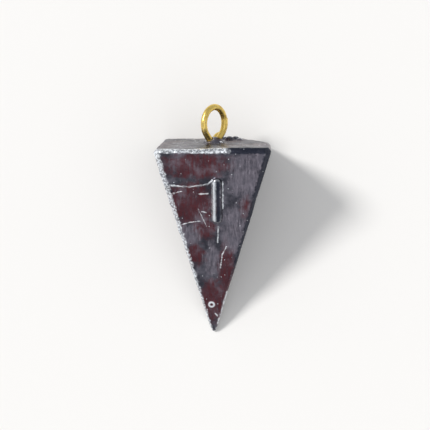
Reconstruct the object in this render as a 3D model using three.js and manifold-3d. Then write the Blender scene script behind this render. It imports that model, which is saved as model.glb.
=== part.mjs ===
// Pyramid sinker: a cast lead pyramid with a brass wire eye cast into its base.
// Millimetres, +Z up. It lies on its back face, with the point towards -Y and the eye towards +Y.
// The lead is worked out in its own frame: the point at the origin, the axis along +Z to the base,
// the front face on the -Y side and the back face on the +Y side.
import * as THREE from 'three';
import { mergeVertices } from 'three/addons/utils/BufferGeometryUtils.js';
import Module from 'manifold-3d';

// The pyramid
const BASE_SIDE = 16.2;
const HEIGHT = 28.7;
const BASE_SKEW = THREE.MathUtils.degToRad(1.5);
const TIP_CUT = 0.95;
const TIP_SHOULDER = 1.5;
const TIP_SHRINK = 0.7;
const SLOPE = BASE_SIDE / 2 / HEIGHT;
const HALF_ANGLE = Math.atan(SLOPE);

// The worn flats along the four long edges: how far each reaches from its corner, at the base and
// at the tip. The front-left and back-right edges carry the mould's parting line.
const EDGE_FLATS = {
  backRight: { base: 0.78, tip: 0.12 },
  backLeft: { base: 0.5, tip: 0.1 },
  frontLeft: { base: 0.78, tip: 0.12 },
  frontRight: { base: 0.72, tip: 0.1 },
};

// The worn rim of the base, and the facet that the cutters left where the sprue came off
const RIM_DEPTH = 0.42;
const CORNER_DEPTH = 0.6;
const SPRUE = { fromX: 2.6, fromY: -1.5, drop: 1.7 };

// The raised numeral on the front face, as a plain bar
const BAR = { x: 0.7, from: 18.9, length: 6.8, width: 1.4, height: 0.55, flank: 0.28, root: 0.4 };

// The lead that crept up between the legs of the eye
const COLLAR = { radius: 1.5, height: 0.9, root: 0.6 };

// The wire eye: one and a quarter turns in the plane of the parting line
const WIRE = 0.95;
const WIRE_SIDES = 10;
const WIRE_STEPS = 84;
const RING_CENTRE = 2.75;
const RING_ACROSS = 1.95;
const RING_ALONG = 2.3;
const RING_TURN = THREE.MathUtils.degToRad(45);
const STRAND_GAP = 0.13;
const SPREAD = 0.95;
const NECK_SPREAD = 0.3;
const NECK_ANGLE = 52;
const CUT_END_ANGLE = 14;
const LEG = 0.57;
const BURIED = 3.6;
const CHANNEL_GAP = 0.05;

const wasm = await Module();
wasm.setup();

function toSolid(geometry) {
  const bare = geometry.index ? geometry.toNonIndexed() : geometry.clone();
  bare.deleteAttribute('normal');
  bare.deleteAttribute('uv');
  const merged = mergeVertices(bare, 1e-4);
  const vertProperties = new Float32Array(merged.attributes.position.array);
  const triVerts = new Uint32Array(merged.index.array);
  return new wasm.Manifold(new wasm.Mesh({ numProp: 3, vertProperties, triVerts }));
}

function toGeometry(solid) {
  const { vertProperties, triVerts } = solid.getMesh();
  const geometry = new THREE.BufferGeometry();
  geometry.setAttribute('position', new THREE.BufferAttribute(new Float32Array(vertProperties), 3));
  geometry.setIndex(new THREE.BufferAttribute(new Uint32Array(triVerts), 1));
  geometry.computeVertexNormals();
  return geometry;
}

// One eight-sided section of the pyramid, anticlockwise as seen from the base
function section(z, share, shrink = 1) {
  const half = z * SLOPE * shrink;
  const lift = z * SLOPE - half;
  const points = [];
  Object.values(EDGE_FLATS).forEach((flat, quarter) => {
    const leg = THREE.MathUtils.lerp(flat.tip, flat.base, share);
    const pair = [new THREE.Vector2(half, half - leg), new THREE.Vector2(half - leg, half)];
    for (const point of pair) {
      point.rotateAround(new THREE.Vector2(), (quarter * Math.PI) / 2);
      points.push(new THREE.Vector3(point.x, point.y + lift, z));
    }
  });
  return points;
}

function loftGeometry(rings) {
  const count = rings[0].length;
  const positions = rings.flat().flatMap((point) => point.toArray());
  const index = [];
  for (let ring = 0; ring < rings.length - 1; ring += 1) {
    for (let i = 0; i < count; i += 1) {
      const a = ring * count + i;
      const b = ring * count + ((i + 1) % count);
      index.push(a, b, b + count, a, b + count, a + count);
    }
  }
  const last = (rings.length - 1) * count;
  for (let i = 1; i < count - 1; i += 1) {
    index.push(0, i + 1, i);
    index.push(last, last + i, last + i + 1);
  }
  const geometry = new THREE.BufferGeometry();
  geometry.setAttribute('position', new THREE.Float32BufferAttribute(positions, 3));
  geometry.setIndex(index);
  return geometry;
}

// Everything beyond a plane, as a block big enough to cut the pyramid with
function beyond(normal, point) {
  const size = 80;
  const block = new THREE.BoxGeometry(size, size, size);
  block.translate(0, 0, size / 2);
  block.applyQuaternion(new THREE.Quaternion().setFromUnitVectors(new THREE.Vector3(0, 0, 1), normal));
  block.translate(point.x, point.y, point.z);
  return toSolid(block);
}

const baseNormal = new THREE.Vector3(-Math.sin(BASE_SKEW), 0, Math.cos(BASE_SKEW));

function basePoint(x, y) {
  return new THREE.Vector3(x, y, HEIGHT + x * Math.tan(BASE_SKEW));
}

function cutBase(solid) {
  const half = BASE_SIDE / 2;
  const sides = [[1, 0], [0, 1], [-1, 0], [0, -1]];
  const normals = sides.map(([x, y]) =>
    new THREE.Vector3(x, y, -SLOPE).normalize());
  let cut = solid.subtract(beyond(baseNormal, basePoint(0, 0)));
  sides.forEach(([x, y], i) => {
    const rim = normals[i].clone().add(baseNormal).normalize();
    const edge = basePoint(x * half, y * half).addScaledVector(rim, -RIM_DEPTH);
    cut = cut.subtract(beyond(rim, edge));
    const [nextX, nextY] = sides[(i + 1) % sides.length];
    const nose = rim.clone().add(normals[(i + 1) % sides.length]).normalize();
    const corner = basePoint((x + nextX) * half, (y + nextY) * half);
    cut = cut.subtract(beyond(nose, corner.addScaledVector(nose, -CORNER_DEPTH - RIM_DEPTH)));
  });
  const onBack = basePoint(SPRUE.fromX, half);
  const onRight = basePoint(half, SPRUE.fromY);
  const below = basePoint(half, half).add(new THREE.Vector3(0, 0, -SPRUE.drop));
  const facet = new THREE.Plane().setFromCoplanarPoints(onBack, onRight, below).normal;
  if (facet.z < 0) {
    facet.negate();
  }
  return cut.subtract(beyond(facet, onBack));
}

// The bar's outline has round ends and is drawn in by its sloping flanks
function barGeometry() {
  const radius = BAR.width / 2 - BAR.flank;
  const outline = new THREE.Shape();
  outline.absarc(0, radius, radius, Math.PI, 2 * Math.PI, false);
  outline.absarc(0, BAR.length - 2 * BAR.flank - radius, radius, 0, Math.PI, false);
  const bar = new THREE.ExtrudeGeometry(outline, {
    depth: BAR.root,
    curveSegments: 5,
    bevelEnabled: true,
    bevelThickness: BAR.height,
    bevelSize: BAR.flank,
    bevelOffset: 0,
    bevelSegments: 2,
  });
  const along = new THREE.Vector3(0, -Math.sin(HALF_ANGLE), Math.cos(HALF_ANGLE));
  const out = new THREE.Vector3(0, -Math.cos(HALF_ANGLE), -Math.sin(HALF_ANGLE));
  const across = new THREE.Vector3().crossVectors(along, out);
  const place = new THREE.Matrix4().makeBasis(across, along, out);
  const foot = along.clone().multiplyScalar(BAR.from + BAR.flank);
  foot.x = BAR.x;
  place.setPosition(foot.addScaledVector(out, -BAR.root));
  return bar.applyMatrix4(place);
}

function collarGeometry() {
  const profile = [
    new THREE.Vector2(0, -COLLAR.root),
    new THREE.Vector2(COLLAR.radius * 1.15, -COLLAR.root),
    new THREE.Vector2(COLLAR.radius, COLLAR.height * 0.2),
    new THREE.Vector2(COLLAR.radius * 0.72, COLLAR.height * 0.68),
    new THREE.Vector2(COLLAR.radius * 0.35, COLLAR.height * 0.95),
    new THREE.Vector2(0, COLLAR.height),
  ];
  const collar = new THREE.LatheGeometry(profile, 16);
  collar.rotateX(Math.PI / 2);
  collar.translate(0, 0, HEIGHT);
  return collar;
}

// A point of the eye: across and along the ring's plane, and how far behind it
function eyePoint(across, along, behind) {
  const x = across * Math.cos(RING_TURN) - behind * Math.sin(RING_TURN);
  const y = across * Math.sin(RING_TURN) + behind * Math.cos(RING_TURN);
  return new THREE.Vector3(x, y, HEIGHT + along);
}

function ringPoint(degrees, behind, outward = 0) {
  const angle = THREE.MathUtils.degToRad(degrees);
  const across = RING_ACROSS * Math.cos(angle) + outward;
  return eyePoint(across, RING_CENTRE + RING_ALONG * Math.sin(angle), behind);
}

// From the cut end down the right side, where it stands out past the ring, round a buried bend, up
// the left leg, over the top, and down the right side again in front to a buried hook
function eyeRoute() {
  const behind = WIRE + STRAND_GAP;
  const points = [];
  for (let angle = CUT_END_ANGLE; angle > -NECK_ANGLE; angle -= 16) {
    points.push(ringPoint(angle, behind * 0.85, SPREAD));
  }
  points.push(ringPoint(-NECK_ANGLE, behind, SPREAD * 0.6));
  points.push(eyePoint(LEG + NECK_SPREAD, 0, behind));
  points.push(eyePoint(LEG, -1.2, behind));
  points.push(eyePoint(0, -2.1, behind * 0.72));
  points.push(eyePoint(-LEG, -1.3, behind * 0.2));
  points.push(eyePoint(-LEG, 0, 0));
  for (let angle = 180 + NECK_ANGLE; angle > -NECK_ANGLE; angle -= 17) {
    points.push(ringPoint(angle, 0));
  }
  points.push(ringPoint(-NECK_ANGLE, 0));
  points.push(eyePoint(LEG, 0, 0));
  points.push(eyePoint(LEG * 1.25, -1.2, -0.1));
  points.push(eyePoint(LEG * 2.1, -2.4, -0.3));
  points.push(eyePoint(LEG * 3.6, -BURIED, -0.4));
  return new THREE.CatmullRomCurve3(points, false, 'centripetal');
}

function wireGeometry(radius) {
  const circle = new THREE.Shape();
  for (let side = 0; side < WIRE_SIDES; side += 1) {
    const angle = (side / WIRE_SIDES) * 2 * Math.PI;
    const step = side === 0 ? 'moveTo' : 'lineTo';
    circle[step](radius * Math.cos(angle), radius * Math.sin(angle));
  }
  circle.closePath();
  return new THREE.ExtrudeGeometry(circle, {
    steps: WIRE_STEPS,
    extrudePath: eyeRoute(),
    bevelEnabled: false,
  });
}

function leadBody() {
  const top = HEIGHT + 2;
  const rings = [
    section(TIP_CUT, 0, TIP_SHRINK),
    section(TIP_SHOULDER, TIP_SHOULDER / HEIGHT),
    section(top, top / HEIGHT),
  ];
  const pyramid = cutBase(toSolid(loftGeometry(rings)));
  const cast = pyramid.add(toSolid(barGeometry())).add(toSolid(collarGeometry()));
  const channel = toSolid(wireGeometry(WIRE / 2 + CHANNEL_GAP));
  const geometry = toGeometry(cast.subtract(channel));
  const material = new THREE.MeshStandardMaterial({ color: 0x6f6c72, roughness: 0.38, metalness: 0.9 });
  const mesh = new THREE.Mesh(geometry, material);
  mesh.name = 'lead_body';
  return mesh;
}

function brassEye() {
  const material = new THREE.MeshStandardMaterial({ color: 0xd9a52e, roughness: 0.28, metalness: 1 });
  const mesh = new THREE.Mesh(toGeometry(toSolid(wireGeometry(WIRE / 2))), material);
  mesh.name = 'brass_eye';
  return mesh;
}

// Tip the pyramid over onto its back face, then centre it over the origin
const tipped = new THREE.Group();
tipped.rotation.x = HALF_ANGLE - Math.PI / 2;
tipped.add(leadBody(), brassEye());

const sinker = new THREE.Group();
sinker.add(tipped);
const box = new THREE.Box3().setFromObject(sinker, true);
const middle = box.getCenter(new THREE.Vector3());
tipped.position.set(-middle.x, -middle.y, -box.min.z);

export default sinker;
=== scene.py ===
"""A one-ounce pyramid sinker: a cast lead pyramid with a brass wire eye, lying on its back face."""
import math

import bpy
from mathutils import Matrix, Vector


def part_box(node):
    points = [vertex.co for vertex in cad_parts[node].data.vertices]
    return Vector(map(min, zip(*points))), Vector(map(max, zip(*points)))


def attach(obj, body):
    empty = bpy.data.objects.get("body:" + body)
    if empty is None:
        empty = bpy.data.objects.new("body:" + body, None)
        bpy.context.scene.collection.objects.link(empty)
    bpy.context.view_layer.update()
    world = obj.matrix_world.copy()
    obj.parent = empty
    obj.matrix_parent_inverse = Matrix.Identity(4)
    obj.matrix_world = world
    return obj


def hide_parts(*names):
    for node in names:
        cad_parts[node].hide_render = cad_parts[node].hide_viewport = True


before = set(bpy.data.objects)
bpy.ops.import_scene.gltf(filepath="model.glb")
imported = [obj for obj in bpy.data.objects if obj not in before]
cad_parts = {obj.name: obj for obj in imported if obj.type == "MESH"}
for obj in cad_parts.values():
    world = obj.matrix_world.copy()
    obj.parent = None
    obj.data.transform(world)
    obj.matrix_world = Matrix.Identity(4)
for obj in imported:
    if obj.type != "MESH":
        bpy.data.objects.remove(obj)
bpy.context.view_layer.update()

# Driving sizes of the casting, in millimetres
MM = 0.001
BASE_SIDE = 16.2
HEIGHT = 28.7

# How far each face leans from the middle line, and how steeply the front face rises off the floor
HALF_ANGLE = math.atan(BASE_SIDE / 2 / HEIGHT)
FACE_RISE = 2 * HALF_ANGLE

# The point was cast blunt, this far short of the sharp point where its faces would meet
TIP_TO_POINT = 0.885
POINT_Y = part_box("lead_body")[0][1] / MM - TIP_TO_POINT

# How far a side edge of the front face leans out for each millimetre along the face,
# and the length of the face from the sharp point to the base
EDGE_SLANT = math.sin(HALF_ANGLE)
FACE_LENGTH = HEIGHT / math.cos(HALF_ANGLE)

# Places on the front face are given across it from its middle, and along it from the sharp point.
# The small raised ring near the point: its centre, its radius and the thickness of its line
RING_MARK = (-0.3, 5.75)
RING_MARK_RADIUS = 0.36
RING_MARK_LINE = 0.17

# The raised bar of the numeral, drawn only in painted light: where it starts and ends along the face, and
# then how far across its painted highlight on the left flank, its painted shade in the middle and its
# painted highlight on the right foot lie, each with its width
BAR_ENDS = (19.5, 25.1)
BAR_LIT_FLANK = (0.2, 0.42)
BAR_SHADE = (0.78, 0.6)
BAR_LIT_FOOT = (1.42, 0.14)
BAR_FOOT_STARTS_AFTER = 1.6

# Patches on the front face, of the painted red reflection and of the pale bloom: centre across and along,
# reach across and along
RED_REFLECTION_PATCHES = (
    (-2.1, 27.4, 4.6, 1.9),
    (-3.0, 21.8, 3.4, 3.4),
    (-1.1, 17.9, 1.8, 1.5),
    (-2.5, 13.9, 1.5, 1.8),
    (1.9, 11.5, 1.3, 4.2),
    (0.0, 6.4, 2.0, 3.7),
    (4.6, 21.0, 0.9, 1.9),
)
PALE_PATCHES = (
    (4.9, 25.8, 3.0, 4.2),
    (3.3, 17.9, 2.2, 4.2),
    (-3.2, 17.1, 1.7, 1.7),
    (-0.1, 12.8, 1.1, 3.0),
)

# Bright lines of the front face: width, then the points that each one joins
COLD_SHUT = (
    0.17, (-7.2, 23.9), (-5.9, 24.5), (-4.5, 24.4), (-3.1, 24.3), (-1.7, 24.5), (-0.6, 24.7), (0.0, 25.3))
SCRATCHES = (
    (0.10, (-6.0, 23.1), (-4.2, 23.6)),
    (0.10, (-4.4, 18.5), (-3.2, 18.9), (-1.7, 19.1)),
    (0.08, (-2.0, 21.0), (-0.85, 18.3)),
    (0.15, (-1.9, 23.2), (-0.6, 23.3)),
    (0.14, (-1.5, 20.6), (-0.9, 20.4)),
    (0.14, (0.8, 18.3), (0.65, 15.8)),
    (0.13, (1.9, 15.2), (1.3, 13.9), (1.0, 11.8)),
    (0.15, (-0.75, 4.2), (-1.0, 3.8)),
    (0.15, (0.2, 4.2), (0.6, 3.75)),
)
# Painted highlights: bright reflections along the right and left edges near the point
TIP_EDGE_HIGHLIGHTS = (
    (0.26, (1.95, 7.7), (1.1, 4.4), (0.55, 2.3)),
    (0.22, (-1.0, 4.0), (-0.3, 1.4)),
)
BRIGHT_LINES = (COLD_SHUT, *SCRATCHES, *TIP_EDGE_HIGHLIGHTS)

# Colours of the lead, its bloom and its marks, and of its painted red reflection, painted shade and
# painted highlight
SLATE = (0.125, 0.12, 0.145, 1.0)
DARK_SLATE = (0.045, 0.044, 0.057, 1.0)
# Painted reflection: a maroon colour put into the lead in place of a reflection
PAINTED_RED_REFLECTION = (0.115, 0.024, 0.029, 1.0)
PALE_BLOOM = (0.225, 0.2, 0.235, 1.0)
PALE_WISP = (0.42, 0.4, 0.44, 1.0)
# Painted shade: the colour laid on the edges and the strip of the bar that face away from the light
SHADE_NAVY = (0.016, 0.02, 0.034, 1.0)
# Bare metal, which also serves as painted highlight on the edges, the corners and the bar
FRESH_METAL_AND_HIGHLIGHT = (0.86, 0.89, 0.92, 1.0)
PIT = (0.015, 0.013, 0.015, 1.0)

# Colours of the wire, the floor and the room
BRASS = (0.8, 0.58, 0.16, 1.0)
DULL_BRASS = (0.46, 0.3, 0.07, 1.0)
RUBBED_BRASS = (0.9, 0.78, 0.42, 1.0)
FLOOR = (0.78, 0.76, 0.73, 1.0)
ROOM = (0.92, 0.95, 1.0, 1.0)
ROOM_STRENGTH = 0.6

# Where the camera hangs, over a point of the sinker, and how it is turned
LOOK = Vector((0.22, 0.42, 8.0)) * MM
CAMERA_FAR = 0.130
CAMERA_AZIMUTH = math.radians(24.5)
CAMERA_HEIGHT = math.radians(84.0)
CAMERA_ROLL = math.radians(-23.8)
CAMERA_LENS = 77.6


def deselect():
    bpy.ops.object.select_all(action="DESELECT")


def pick(piece):
    """Makes one piece the active one and the only one selected."""
    deselect()
    bpy.context.view_layer.objects.active = piece
    piece.select_set(True)


def front_point(across, along, out=0.0):
    """A place on the front face, or out of it, in millimetres, as a place in the scene."""
    y = POINT_Y + along * math.cos(FACE_RISE) - out * math.sin(FACE_RISE)
    z = along * math.sin(FACE_RISE) + out * math.cos(FACE_RISE)
    return Vector((across, y, z)) * MM


def copy_of(node, name):
    """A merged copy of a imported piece, ready to be worked on."""
    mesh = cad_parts[node].data.copy()
    mesh.name = name
    mesh.materials.clear()
    piece = bpy.data.objects.new(name, mesh)
    bpy.context.collection.objects.link(piece)
    pick(piece)
    bpy.ops.object.mode_set(mode="EDIT")
    bpy.ops.mesh.select_all(action="SELECT")
    bpy.ops.mesh.remove_doubles(threshold=0.002 * MM)
    bpy.ops.object.mode_set(mode="OBJECT")
    return piece


def displace(piece, name, size, depth, strength):
    """Makes a piece uneven by a cloudy pattern, with its size and strength in millimetres."""
    texture = bpy.data.textures.new(name, "CLOUDS")
    texture.noise_scale = size * MM
    texture.noise_depth = depth
    modifier = piece.modifiers.new(name, "DISPLACE")
    modifier.texture = texture
    modifier.texture_coords = "LOCAL"
    modifier.strength = strength * MM
    modifier.mid_level = 0.5


def apply_modifiers(piece):
    pick(piece)
    for modifier in list(piece.modifiers):
        bpy.ops.object.modifier_apply(modifier=modifier.name)


def add_crumb(place, size, squash, turn=0.0):
    """One crumb of lead: a ball that is squashed, and laid the way the front face lies."""
    bpy.ops.mesh.primitive_ico_sphere_add(subdivisions=3, radius=size * MM, location=place)
    crumb = bpy.context.object
    crumb.rotation_euler = (FACE_RISE, 0, turn)
    crumb.scale = squash
    bpy.ops.object.transform_apply(location=True, rotation=True, scale=True)
    return crumb


def ring_mark():
    """The small raised ring near the point."""
    out = 0.04
    bpy.ops.mesh.primitive_torus_add(
        major_radius=RING_MARK_RADIUS * MM, minor_radius=RING_MARK_LINE * MM,
        major_segments=32, minor_segments=12,
        location=front_point(*RING_MARK, out), rotation=(FACE_RISE, 0, 0))
    bpy.ops.object.transform_apply(location=True, rotation=True, scale=True)
    return bpy.context.object


def flash_crumbs():
    """Crumbs of flash along the front-left edge, larger towards the base."""
    count, first, apart = 17, 4.5, 1.45
    inset, out = 0.35, -0.18
    squash, turn = (1.0, 2.6, 0.8), 0.27
    crumbs = []
    for step in range(count):
        along = first + step * apart
        size = 0.16 + 0.09 * math.sin(step * 2.3) + 0.006 * along
        across = -EDGE_SLANT * along + inset + 0.1 * math.sin(step * 4.1)
        crumbs.append(add_crumb(front_point(across, along, out), size, squash, turn))
    return crumbs


def rim_crumbs():
    """Crumbs of the trimmed rim, a little short of the front edge of the base."""
    count, first, apart = 9, -6.9, 1.15
    inset, out = 0.62, -0.24
    squash = (2.2, 1.0, 0.7)
    crumbs = []
    for step in range(count):
        across = first + step * apart
        size = 0.2 + 0.07 * math.sin(step * 3.7)
        crumbs.append(add_crumb(front_point(across, FACE_LENGTH - inset, out), size, squash))
    return crumbs


def sprue_crumbs():
    """Rough lead beside the facet where the sprue was cut off."""
    places_and_sizes = ((2.0, -11.4, 0.5), (2.9, -12.0, 0.42), (3.5, -10.9, 0.36), (1.3, -12.4, 0.34))
    sunk = 0.1
    squash = (1.3, 0.9, 1.0)
    crumbs = []
    for across, out, size in places_and_sizes:
        along = FACE_LENGTH + out * math.sin(FACE_RISE) / 2 - sunk
        crumbs.append(add_crumb(front_point(across, along, out), size, squash))
    return crumbs


def model_lead():
    """The casting and its crumbs under one skin, worn at the edges and slightly uneven."""
    piece = copy_of("lead_body", "cast_lead")
    extras = [ring_mark(), *flash_crumbs(), *rim_crumbs(), *sprue_crumbs()]
    pick(piece)
    for extra in extras:
        extra.select_set(True)
    bpy.ops.object.join()

    skin = piece.modifiers.new("skin", "REMESH")
    skin.mode = "VOXEL"
    skin.voxel_size = 0.13 * MM
    worn = piece.modifiers.new("worn", "SMOOTH")
    worn.factor = 0.5
    worn.iterations = 3
    displace(piece, "shrinkage", size=5.0, depth=1, strength=0.22)
    displace(piece, "mould_skin", size=0.9, depth=3, strength=0.09)
    apply_modifiers(piece)

    # Nothing of the back face goes under the floor
    for vertex in piece.data.vertices:
        vertex.co.z = max(vertex.co.z, 0.0)
    bpy.ops.object.shade_smooth()
    return piece


def model_eye():
    """The wire, made round from its flat sides, with crisp cut ends and faint dents."""
    piece = copy_of("brass_eye", "brass_wire_eye")
    bpy.ops.object.mode_set(mode="EDIT")
    bpy.ops.mesh.select_all(action="SELECT")
    bpy.ops.mesh.tris_convert_to_quads()
    bpy.ops.mesh.select_all(action="DESELECT")
    bpy.ops.mesh.edges_select_sharp(sharpness=math.radians(60))
    bpy.ops.transform.edge_crease(value=0.85)
    bpy.ops.object.mode_set(mode="OBJECT")
    rounded = piece.modifiers.new("round", "SUBSURF")
    rounded.levels = 2
    rounded.render_levels = 2
    displace(piece, "wire_dents", size=0.8, depth=1, strength=0.025)
    apply_modifiers(piece)
    bpy.ops.object.shade_smooth_by_angle(angle=math.radians(50))
    return piece


class Nodes:
    """Short ways to add nodes to one tree."""

    def __init__(self, tree):
        self.tree = tree

    def add(self, kind, **values):
        node = self.tree.nodes.new(kind)
        for key, value in values.items():
            setattr(node, key, value)
        return node

    def feed(self, socket, value):
        if isinstance(value, bpy.types.NodeSocket):
            self.tree.links.new(value, socket)
        elif value is not None:
            socket.default_value = value

    def math(self, operation, first, second=None, third=None, clamp=False):
        node = self.add("ShaderNodeMath", operation=operation, use_clamp=clamp)
        for socket, value in zip(node.inputs, (first, second, third)):
            self.feed(socket, value)
        return node.outputs[0]

    def plus(self, first, second):
        return self.math("ADD", first, second)

    def minus(self, first, second):
        return self.math("SUBTRACT", first, second)

    def times(self, first, *others):
        for other in others:
            first = self.math("MULTIPLY", first, other)
        return first

    def most(self, first, *others):
        for other in others:
            first = self.math("MAXIMUM", first, other)
        return first

    def vector(self, operation, first, second=None):
        node = self.add("ShaderNodeVectorMath", operation=operation)
        self.feed(node.inputs[0], first)
        self.feed(node.inputs[1], second)
        return node.outputs["Value" if operation in ("LENGTH", "DOT_PRODUCT") else "Vector"]

    def soft_step(self, value, low, high, to_low=0.0, to_high=1.0):
        node = self.add("ShaderNodeMapRange", interpolation_type="SMOOTHSTEP")
        for socket, given in zip(node.inputs, (value, low, high, to_low, to_high)):
            self.feed(socket, given)
        return node.outputs[0]

    def noise(self, place, scale, detail=3.0, roughness=0.55):
        node = self.add("ShaderNodeTexNoise")
        self.feed(node.inputs["Vector"], place)
        node.inputs["Scale"].default_value = scale
        node.inputs["Detail"].default_value = detail
        node.inputs["Roughness"].default_value = roughness
        return node.outputs["Fac"]

    def wander(self, place, scale, detail, reach):
        """A distance that strays to either side of nothing, by up to half of its reach."""
        return self.times(self.minus(self.noise(place, scale, detail), 0.5), reach)

    def mix(self, share, first, second):
        node = self.add("ShaderNodeMix", data_type="RGBA")
        self.feed(node.inputs[0], share)
        self.feed(node.inputs[6], first)
        self.feed(node.inputs[7], second)
        return node.outputs[2]

    def group(self, tree, **values):
        node = self.add("ShaderNodeGroup", node_tree=tree)
        for key, value in values.items():
            self.feed(node.inputs[key], value)
        return node.outputs[0]

    def bump(self, height, strength, distance):
        """A relief, with its distance in millimetres."""
        node = self.add("ShaderNodeBump")
        node.inputs["Strength"].default_value = strength
        node.inputs["Distance"].default_value = distance * MM
        self.feed(node.inputs["Height"], height)
        return node.outputs[0]


def new_group(name, **kinds):
    """A node group that gives one mask, with the kind of each of its inputs."""
    tree = bpy.data.node_groups.new(name, "ShaderNodeTree")
    for label, kind in kinds.items():
        tree.interface.new_socket(label, in_out="INPUT", socket_type="NodeSocket" + kind)
    tree.interface.new_socket("Mask", in_out="OUTPUT", socket_type="NodeSocketFloat")
    nodes = Nodes(tree)
    given = nodes.add("NodeGroupInput").outputs
    mask = nodes.add("NodeGroupOutput").inputs[0]
    return tree, nodes, given, mask


def patch_group():
    """A soft oval patch with a ragged rim, centred on a place of the front face."""
    tree, nodes, given, mask = new_group("tarnish_and_reflection_patch", Place="Vector", Centre="Vector", Reach="Vector")
    from_centre = nodes.vector("SUBTRACT", given["Place"], given["Centre"])
    away = nodes.vector("LENGTH", nodes.vector("DIVIDE", from_centre, given["Reach"]))
    ragged = nodes.wander(given["Place"], scale=0.9, detail=5.0, reach=1.7)
    nodes.feed(mask, nodes.soft_step(nodes.plus(away, ragged), low=1.25, high=0.6))
    return tree


def stroke_group():
    """A thin wavering line between two places of the front face."""
    tree, nodes, given, mask = new_group(
        "scratch_and_painted_light_stroke", Place="Vector", From="Vector", To="Vector", Width="Float")
    on_face = nodes.vector("MULTIPLY", given["Place"], (1.0, 1.0, 0.0))
    start = nodes.vector("SUBTRACT", on_face, given["From"])
    run = nodes.vector("SUBTRACT", given["To"], given["From"])
    covered = nodes.vector("DOT_PRODUCT", start, run)
    whole = nodes.vector("DOT_PRODUCT", run, run)
    nearest = nodes.add("ShaderNodeVectorMath", operation="SCALE")
    nodes.feed(nearest.inputs[0], run)
    nodes.feed(nearest.inputs["Scale"], nodes.math("DIVIDE", covered, whole, clamp=True))
    off = nodes.vector("LENGTH", nodes.vector("SUBTRACT", start, nearest.outputs[0]))
    waver = nodes.wander(given["Place"], scale=2.4, detail=3.0, reach=0.35)
    off = nodes.math("ABSOLUTE", nodes.plus(off, waver))
    nodes.feed(mask, nodes.soft_step(off, low=given["Width"], high=0.0))
    return tree


def speck_group():
    """Scattered specks: a share of the cells of a fine pattern holds one each."""
    tree, nodes, given, mask = new_group("metal_specks", Place="Vector", Share="Float", Size="Float")
    cells = nodes.add("ShaderNodeTexVoronoi", feature="F1")
    nodes.feed(cells.inputs["Vector"], given["Place"])
    cells.inputs["Scale"].default_value = 1.9
    core = nodes.times(given["Size"], 0.5)
    near = nodes.soft_step(cells.outputs["Distance"], low=given["Size"], high=core)
    lot = nodes.vector("DOT_PRODUCT", cells.outputs["Color"], (1.0, 0.0, 0.0))
    chosen = nodes.math("LESS_THAN", lot, given["Share"])
    nodes.feed(mask, nodes.times(near, chosen))
    return tree


def new_material(name):
    """A material, with its nodes and its shader."""
    material = bpy.data.materials.new(name)
    material.use_nodes = True
    return material, Nodes(material.node_tree), material.node_tree.nodes["Principled BSDF"]


def face_place(nodes):
    """Millimetres across the front face, along it from the sharp point, and out of it."""
    coordinate = nodes.add("ShaderNodeTexCoord")
    mapping = nodes.add("ShaderNodeMapping", vector_type="TEXTURE")
    nodes.feed(mapping.inputs["Vector"], coordinate.outputs["Object"])
    mapping.inputs["Location"].default_value = (0.0, POINT_Y * MM, 0.0)
    mapping.inputs["Rotation"].default_value = (FACE_RISE, 0.0, 0.0)
    mapping.inputs["Scale"].default_value = (MM, MM, MM)
    return mapping.outputs[0]


def listed_patches(nodes, patch, place, rows):
    """All the patches of one list, such as those of the painted red reflection and those of the pale
    bloom.
    """
    deep = 3.0
    masks = []
    for across, along, reach_across, reach_along in rows:
        centre = (across, along, 0.0)
        reach = (reach_across, reach_along, deep)
        masks.append(nodes.group(patch, Place=place, Centre=centre, Reach=reach))
    return nodes.most(*masks)


def bright_lines(nodes, stroke, place):
    """The cold shut, the scratches and the painted highlights along the edges of the tip."""
    masks = []
    for width, *points in BRIGHT_LINES:
        for first, second in zip(points, points[1:]):
            masks.append(nodes.group(
                stroke, Place=place, From=(*first, 0.0), To=(*second, 0.0), Width=width))
    return nodes.most(*masks)


def bar_line(nodes, stroke, place, line, starts_after=0.0):
    """One line along the raised bar of the numeral, which is drawn only in painted highlight and painted
    shade.
    """
    across, width = line
    low, high = BAR_ENDS
    start = (across, low + starts_after, 0.0)
    return nodes.group(stroke, Place=place, From=start, To=(across, high, 0.0), Width=width)


def ring_line(nodes, place):
    """The line of the small raised ring."""
    on_face = nodes.vector("MULTIPLY", place, (1.0, 1.0, 0.0))
    from_centre = nodes.vector("LENGTH", nodes.vector("SUBTRACT", on_face, (*RING_MARK, 0.0)))
    off = nodes.math("ABSOLUTE", nodes.minus(from_centre, RING_MARK_RADIUS))
    return nodes.soft_step(off, low=0.2, high=0.06)


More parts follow.
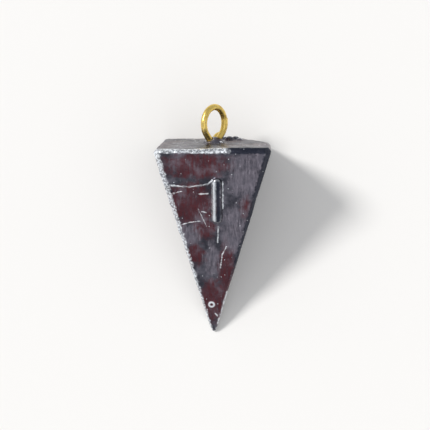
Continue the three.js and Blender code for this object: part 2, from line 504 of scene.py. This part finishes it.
def front_edges(nodes, place, across, along, near_front):
    """The edges round the front face, with painted highlight on the left, painted shade on the right, and
    painted highlight and painted shade on the left and right of the base's rim.
    """
    ragged = nodes.wander(place, scale=1.5, detail=4.0, reach=0.9)

    # How far a place lies inside an edge, less the width of the worn flat, which grows to the base
    flat_at_point, flat_grows = 0.12, 0.024
    flat = nodes.math("MULTIPLY_ADD", along, flat_grows, flat_at_point)
    slanted = nodes.times(along, EDGE_SLANT)
    # The left band is painted highlight, where the left edge faces the light
    inside_left = nodes.plus(nodes.minus(nodes.plus(across, slanted), flat), ragged)
    left = nodes.times(nodes.soft_step(inside_left, low=0.15, high=-0.1), near_front)
    # The right band is painted shade
    inside_right = nodes.plus(nodes.minus(nodes.minus(slanted, across), flat), ragged)
    right = nodes.times(nodes.soft_step(inside_right, low=0.2, high=-0.15), near_front)

    # The painted shade of the right edge fades out towards the point
    right = nodes.times(right, nodes.soft_step(along, low=8.0, high=13.0))

    # The rim of the base changes from painted highlight on the left to painted shade on the right at a
    # ragged place
    rim = nodes.plus(along, nodes.times(ragged, 0.5))
    rim = nodes.soft_step(rim, low=FACE_LENGTH - 0.75, high=FACE_LENGTH - 0.55)
    rim = nodes.times(rim, near_front)
    change = nodes.math("MULTIPLY_ADD", ragged, 2.2, across)
    shaded_rim_right = nodes.times(rim, nodes.soft_step(change, low=1.6, high=2.6))
    lit_rim_left = nodes.math("SUBTRACT", rim, shaded_rim_right, clamp=True)
    return left, right, lit_rim_left, shaded_rim_right


def tarnish_and_red_reflection(nodes, place, on_front):
    """The colour of the lead with its pale bloom and its painted red reflection, and where the pale bloom
    lies.
    """
    side_red_reflection_share, blotch_bloom_share, wisp_share = 0.6, 0.55, 0.4
    patch = patch_group()
    off_front = nodes.minus(1.0, on_front)
    blotch = nodes.noise(place, scale=0.35, detail=6.0, roughness=0.6)
    drawn_out = nodes.vector("MULTIPLY", place, (1.6, 0.35, 1.0))
    streaks = nodes.noise(drawn_out, scale=1.8, detail=6.0, roughness=0.7)
    color = nodes.mix(nodes.soft_step(blotch, low=0.38, high=0.62), DARK_SLATE, SLATE)

    # The painted red reflection, in its patches on the front face and thinly on the others
    front_red_reflection = nodes.times(listed_patches(nodes, patch, place, RED_REFLECTION_PATCHES), on_front)
    side_red_reflection = nodes.soft_step(nodes.noise(place, scale=0.22, detail=5.0), low=0.52, high=0.66)
    side_red_reflection = nodes.times(side_red_reflection, side_red_reflection_share, off_front)
    red = nodes.math("ADD", front_red_reflection, side_red_reflection, clamp=True)
    red = nodes.times(red, nodes.soft_step(streaks, low=0.3, high=0.62, to_low=1.0, to_high=0.5))
    color = nodes.mix(red, color, PAINTED_RED_REFLECTION)

    # The pale bloom, in its patches on the front face and in blotches everywhere
    streaky = nodes.soft_step(streaks, low=0.34, high=0.66, to_low=0.15)
    front_bloom = nodes.times(listed_patches(nodes, patch, place, PALE_PATCHES), on_front, streaky)
    blotch_bloom = nodes.times(nodes.soft_step(blotch, low=0.52, high=0.7), blotch_bloom_share)
    bloom = nodes.most(front_bloom, blotch_bloom)
    color = nodes.mix(bloom, color, PALE_BLOOM)

    wisps = nodes.times(nodes.soft_step(streaks, low=0.58, high=0.72), wisp_share)
    return nodes.mix(wisps, color, PALE_WISP), bloom


def corner_highlights(nodes, place, painted_shade):
    """Painted highlight on the corners, in a broken pattern, apart from the edges with painted shade."""
    corners = nodes.add("ShaderNodeNewGeometry").outputs["Pointiness"]
    fine = nodes.noise(place, scale=3.2, detail=5.0, roughness=0.65)
    # worn holds the painted highlight on the pointy corners
    worn = nodes.times(
        nodes.soft_step(corners, low=0.515, high=0.56), nodes.soft_step(fine, low=0.4, high=0.55))
    return nodes.times(worn, nodes.minus(1.0, painted_shade))


def lead_material():
    """Tarnished lead, with a painted red reflection, painted shade and painted highlight on its edges and
    its bar, scratches, specks and pits.
    """
    painted_shade_share, line_share, ring_share, smooth_share = 0.9, 0.85, 0.9, 0.3
    speck_size, speck_share, pit_share, side_specks = 0.15, 0.24, 0.14, 0.3
    material, nodes, shader = new_material("tarnished_cast_lead_painted_light")
    place = face_place(nodes)
    stroke = stroke_group()
    speck = speck_group()
    apart = nodes.add("ShaderNodeSeparateXYZ")
    nodes.feed(apart.inputs[0], place)
    across, along, out = apart.outputs

    # The front face alone, and the front face with the worn flats beside it
    on_front = nodes.soft_step(out, low=-0.55, high=-0.25)
    near_front = nodes.soft_step(out, low=-1.3, high=-1.0)

    color, bloom = tarnish_and_red_reflection(nodes, place, on_front)
    left, right, lit_rim_left, shaded_rim_right = front_edges(nodes, place, across, along, near_front)

    # Painted shade, all on rounded places: the right edge, the right of the rim and the middle strip of
    # the bar
    bar_shade = nodes.times(bar_line(nodes, stroke, place, BAR_SHADE), on_front)
    painted_shade = nodes.most(right, shaded_rim_right, bar_shade)
    color = nodes.mix(nodes.times(painted_shade, painted_shade_share), color, SHADE_NAVY)

    # Bright: painted highlight on the left edges broken by grit, the corners, the tip edges and the bar;
    # bare metal in the cold shut, the scratches, the specks and the ring
    grit = nodes.soft_step(
        nodes.noise(place, scale=3.4, detail=4.0, roughness=0.7), low=0.42, high=0.56)
    gritty_highlight = nodes.times(nodes.most(left, lit_rim_left), nodes.most(grit, smooth_share))
    broken = nodes.soft_step(nodes.noise(place, scale=1.7), low=0.36, high=0.52, to_low=0.35)
    lines = nodes.times(bright_lines(nodes, stroke, place), near_front, broken)
    specks = nodes.group(speck, Place=place, Share=speck_share, Size=speck_size)
    specks = nodes.times(specks, nodes.math("MULTIPLY_ADD", on_front, 1 - side_specks, side_specks))
    ring = nodes.times(ring_line(nodes, place), on_front, ring_share)
    # Painted highlight on the bar's left flank and on its right foot
    flank = bar_line(nodes, stroke, place, BAR_LIT_FLANK)
    foot = bar_line(nodes, stroke, place, BAR_LIT_FOOT, BAR_FOOT_STARTS_AFTER)
    bar = nodes.times(nodes.most(flank, foot), on_front)
    bright = nodes.most(
        gritty_highlight, corner_highlights(nodes, place, painted_shade), nodes.times(lines, line_share), specks, ring, bar)
    color = nodes.mix(bright, color, FRESH_METAL_AND_HIGHLIGHT)

    # The pits use the pattern of the specks, moved to other places
    moved = nodes.vector("ADD", place, (7.3, 3.1, 5.7))
    pits = nodes.group(speck, Place=moved, Share=pit_share, Size=speck_size)
    nodes.feed(shader.inputs["Base Color"], nodes.mix(pits, color, PIT))

    shader.inputs["Metallic"].default_value = 0.85
    bright_rougher, bloom_rougher = 0.1, 0.1
    patchy = nodes.noise(place, scale=0.8, detail=4.0)
    rough = nodes.soft_step(patchy, low=0.3, high=0.7, to_low=0.24, to_high=0.44)
    rough = nodes.plus(rough, nodes.times(bright, bright_rougher))
    rough = nodes.plus(rough, nodes.times(bloom, bloom_rougher))
    nodes.feed(shader.inputs["Roughness"], rough)

    grain_high, line_high, pit_deep, grit_high = 0.5, 0.7, 0.8, 0.6
    relief = nodes.times(nodes.noise(place, scale=2.2, detail=6.0, roughness=0.6), grain_high)
    relief = nodes.plus(relief, nodes.times(lines, line_high))
    relief = nodes.minus(relief, nodes.times(pits, pit_deep))
    relief = nodes.plus(relief, nodes.times(grit, left, grit_high))
    nodes.feed(shader.inputs["Normal"], nodes.bump(relief, strength=0.7, distance=0.12))
    return material


def brass_material():
    """Drawn brass wire, dulled in patches and rubbed bright in others."""
    rubbed_share = 0.5
    material, nodes, shader = new_material("drawn_brass_wire")
    place = face_place(nodes)
    dulled = nodes.soft_step(nodes.noise(place, scale=0.9, detail=5.0), low=0.45, high=0.7)
    color = nodes.mix(dulled, BRASS, DULL_BRASS)
    rubbed = nodes.soft_step(nodes.noise(place, scale=3.5, detail=4.0), low=0.58, high=0.7)
    color = nodes.mix(nodes.times(rubbed, rubbed_share), color, RUBBED_BRASS)
    nodes.feed(shader.inputs["Base Color"], color)
    shader.inputs["Metallic"].default_value = 1.0
    patchy = nodes.noise(place, scale=2.0, detail=4.0)
    rough = nodes.soft_step(patchy, low=0.3, high=0.7, to_low=0.2, to_high=0.38)
    nodes.feed(shader.inputs["Roughness"], rough)
    grain = nodes.noise(place, scale=5.0, detail=4.0)
    nodes.feed(shader.inputs["Normal"], nodes.bump(grain, strength=0.35, distance=0.03))
    return material


def camera_axes():
    """The camera's right, up and back, after its roll."""
    low = math.cos(CAMERA_HEIGHT)
    high = math.sin(CAMERA_HEIGHT)
    back = Vector((math.sin(CAMERA_AZIMUTH) * low, -math.cos(CAMERA_AZIMUTH) * low, high))
    right = Vector((math.cos(CAMERA_AZIMUTH), math.sin(CAMERA_AZIMUTH), 0.0))
    up = back.cross(right)
    turned_right = right * math.cos(CAMERA_ROLL) + up * math.sin(CAMERA_ROLL)
    turned_up = up * math.cos(CAMERA_ROLL) - right * math.sin(CAMERA_ROLL)
    return turned_right, turned_up, back


def add_camera():
    right, up, back = camera_axes()
    data = bpy.data.cameras.new("photo_view")
    data.lens = CAMERA_LENS
    data.clip_start = 0.001
    camera = bpy.data.objects.new("photo_view", data)
    turn = Matrix((right, up, back)).transposed().to_4x4()
    camera.matrix_world = Matrix.Translation(LOOK + back * CAMERA_FAR) @ turn
    bpy.context.scene.collection.objects.link(camera)
    bpy.context.scene.camera = camera


def add_sun(name, side, strength, softness):
    """A far soft light, by how far it leans right, up and back in the camera's view."""
    right, up, back = camera_axes()
    towards = (right * side[0] + up * side[1] + back * side[2]).normalized()
    data = bpy.data.lights.new(name, "SUN")
    data.energy = strength
    data.angle = math.radians(softness)
    light = bpy.data.objects.new(name, data)
    light.rotation_euler = towards.to_track_quat("Z", "Y").to_euler()
    bpy.context.scene.collection.objects.link(light)


def add_world():
    world = bpy.data.worlds.new("soft_room")
    world.use_nodes = True
    background = world.node_tree.nodes["Background"]
    background.inputs["Color"].default_value = ROOM
    background.inputs["Strength"].default_value = ROOM_STRENGTH
    bpy.context.scene.world = world


def add_floor():
    """A plain pale floor, just under the back face."""
    deselect()
    bpy.ops.mesh.primitive_plane_add(size=2.0, location=(0, 0, -0.02 * MM))
    floor = bpy.context.object
    floor.name = "pale_floor"
    material, _, shader = new_material("pale_floor_finish")
    shader.inputs["Base Color"].default_value = FLOOR
    shader.inputs["Roughness"].default_value = 0.9
    floor.data.materials.append(material)


add_camera()
add_world()
add_floor()
add_sun("window_light", side=(-0.8, 0.4, 0.75), strength=2.6, softness=14)
add_sun("room_light", side=(0.3, -0.3, 0.9), strength=0.4, softness=60)

lead = model_lead()
lead.data.materials.append(lead_material())
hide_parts("lead_body")
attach(lead, "root")

eye = model_eye()
eye.data.materials.append(brass_material())
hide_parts("brass_eye")
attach(eye, "root")

bpy.context.scene.view_settings.view_transform = "Standard"
